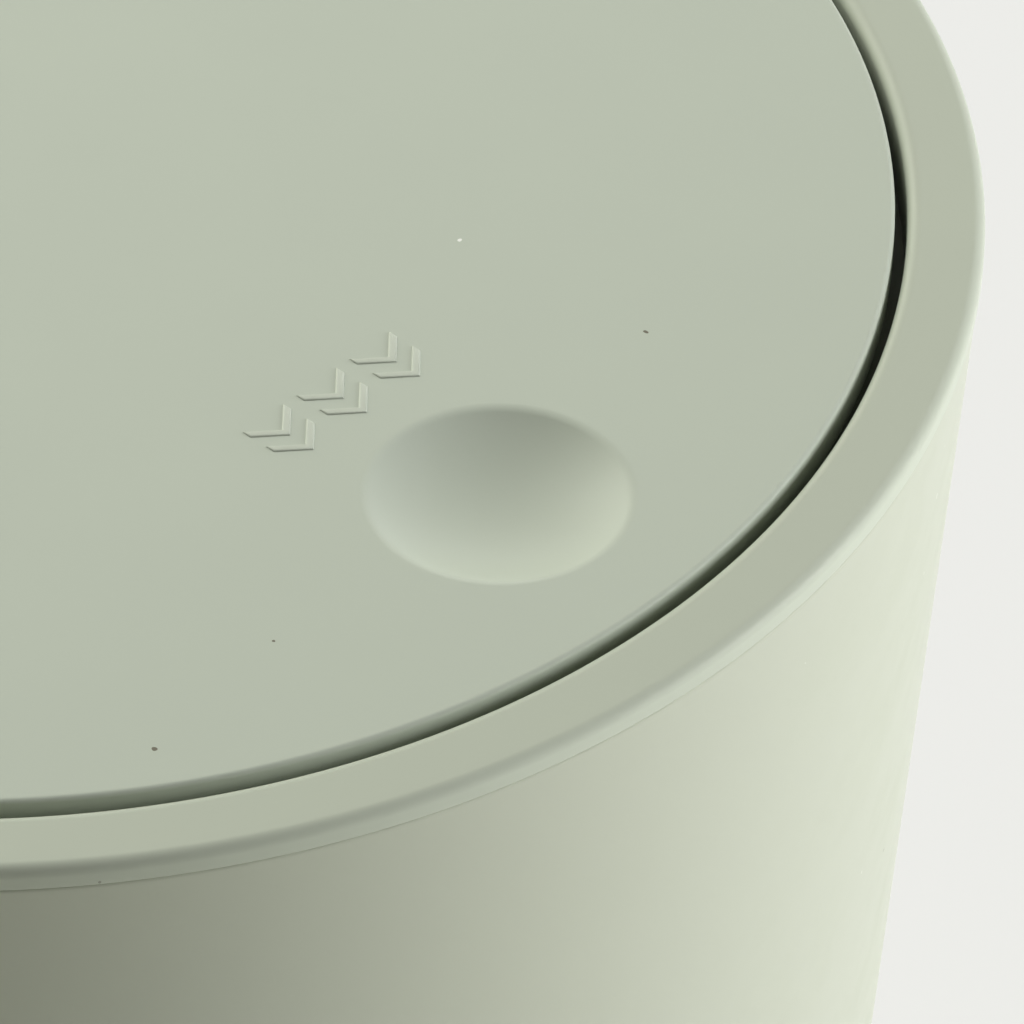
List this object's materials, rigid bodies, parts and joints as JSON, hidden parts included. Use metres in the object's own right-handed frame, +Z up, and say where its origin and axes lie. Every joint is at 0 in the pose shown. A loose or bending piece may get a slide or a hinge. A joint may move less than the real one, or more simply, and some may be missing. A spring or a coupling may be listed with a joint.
{
  "type": "push top countertop bin",
  "caption": "Round tapered countertop bin with a lift-off top and a push-to-open hinged lid that has a fingertip dimple.",
  "frame": {"origin": "centre of the base, on the surface that the bin stands on", "axes": "+Z up along the tub's axis, front of the lid at -Y, hinge axis along X at the rear"},
  "size_m": [0.2004, 0.2004, 0.2403],
  "materials": {
    "shell_plastic": "satin moulded plastic, pale sage",
    "rim_plastic": "satin moulded plastic, pale sage",
    "lid_plastic": "satin moulded plastic, pale sage",
    "inner_plastic": "plain moulded plastic, pale sage",
    "frame_plastic": "plain moulded plastic, sage",
    "grip_rubber": "soft matt rubber",
    "screw_steel": "zinc-plated steel",
    "plate_steel": "brushed steel sheet",
    "pin_steel": "ground steel rod",
    "spring_steel": "drawn spring wire",
    "latch_plastic": "natural white moulded plastic",
    "plunger_plastic": "natural white moulded plastic",
    "magnet_metal": "nickel-plated magnet"
  },
  "bodies": {
    "tub": {"body_shell": "shell_plastic", "grip_ring": "grip_rubber"},
    "top": {"rim_ring": "rim_plastic", "lid_frame": "frame_plastic", "frame_screws": "screw_steel", "hinge_spring_left": "spring_steel", "hinge_spring_right": "spring_steel", "latch_housing": "latch_plastic", "latch_cap": "latch_plastic", "latch_screws": "screw_steel", "latch_spring": "spring_steel", "latch_track_pin": "spring_steel"},
    "lid": {"lid_panel": "lid_plastic", "lid_inner_panel": "inner_plastic", "lid_screws": "screw_steel", "strike_plate": "plate_steel", "strike_screws": "screw_steel", "hinge_pin": "pin_steel", "pin_clips": "pin_steel"},
    "plunger": {"latch_plunger": "plunger_plastic", "latch_magnet": "magnet_metal"}
  },
  "joints": [
    {"name": "top_lift", "type": "slide", "parent": "tub", "child": "top", "axis": [0, 0, 1], "range_m": [0, 0.08]},
    {"name": "lid_open", "type": "hinge", "parent": "top", "child": "lid", "pos_m": [0, 0.062, 0.233], "axis": [-1, 0, 0], "range_deg": [0, 80], "deforming": ["hinge_spring_left", "hinge_spring_right"]},
    {"name": "latch_plunge", "type": "slide", "parent": "top", "child": "plunger", "axis": [0, 0, 1], "range_m": [-0.0023, 0], "stiffness_N_per_m": 300, "springref_m": 0.0008, "deforming": ["latch_spring"]}
  ]
}
